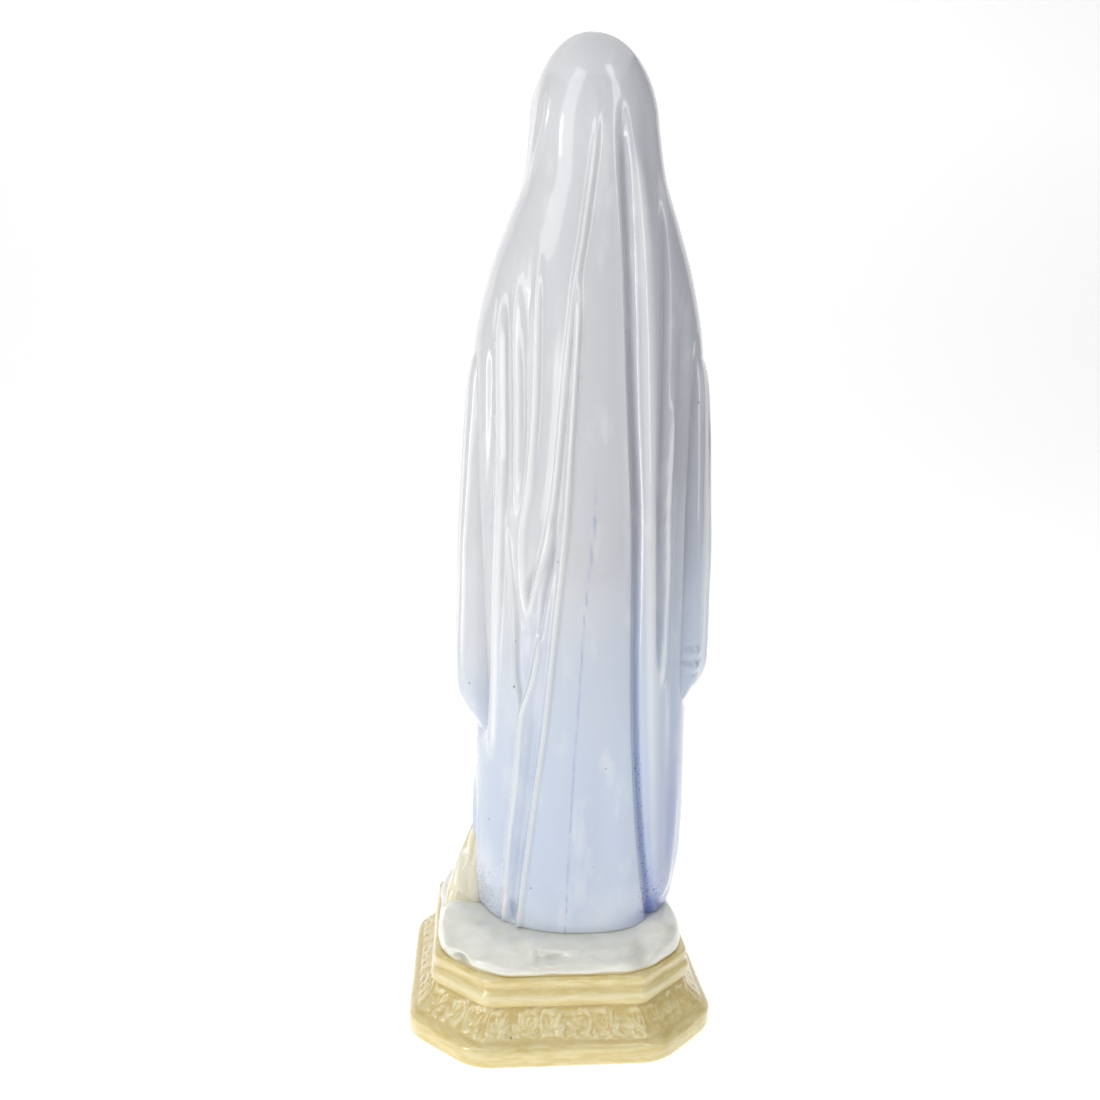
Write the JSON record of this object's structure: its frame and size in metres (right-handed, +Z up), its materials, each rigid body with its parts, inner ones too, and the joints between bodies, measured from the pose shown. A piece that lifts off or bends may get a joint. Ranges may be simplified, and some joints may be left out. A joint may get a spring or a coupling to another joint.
{
  "type": "madonna statue",
  "caption": "Standing praying Madonna figure with a long veil-mantle, gown, sash and bare feet, on a cloud mound and an octagonal pedestal, in hollow glazed earthenware.",
  "frame": {"origin": "centre of the pedestal's foot, on the surface that it stands on", "axes": "+Z up; the figure faces -Y, and its right hand is towards -X"},
  "size_m": [0.119, 0.12, 0.381],
  "materials": {
    "straw_glaze": "pale straw-yellow glaze, gloss, ochre where it pools",
    "cloud_glaze": "grey-white brushed glaze, gloss",
    "ivory_glaze": "ivory glaze, gloss",
    "pearl_blue_glaze": "pearl-white glaze sprayed with pale cobalt blue towards the hem, gloss",
    "flesh_glaze": "pale flesh glaze, gloss",
    "sash_blue_glaze": "light cobalt-blue glaze, gloss"
  },
  "bodies": {
    "root": {"pedestal": "straw_glaze", "mound": "cloud_glaze", "gown": "ivory_glaze", "mantle": "pearl_blue_glaze", "drape_left": "pearl_blue_glaze", "drape_right": "pearl_blue_glaze", "head": "flesh_glaze", "sleeve_left": "ivory_glaze", "sleeve_right": "ivory_glaze", "hand_left": "flesh_glaze", "hand_right": "flesh_glaze", "sash_band": "sash_blue_glaze", "sash_knot": "sash_blue_glaze", "sash_tail_left": "sash_blue_glaze", "sash_tail_right": "sash_blue_glaze", "foot_left": "flesh_glaze", "foot_right": "flesh_glaze"}
  },
  "joints": []
}
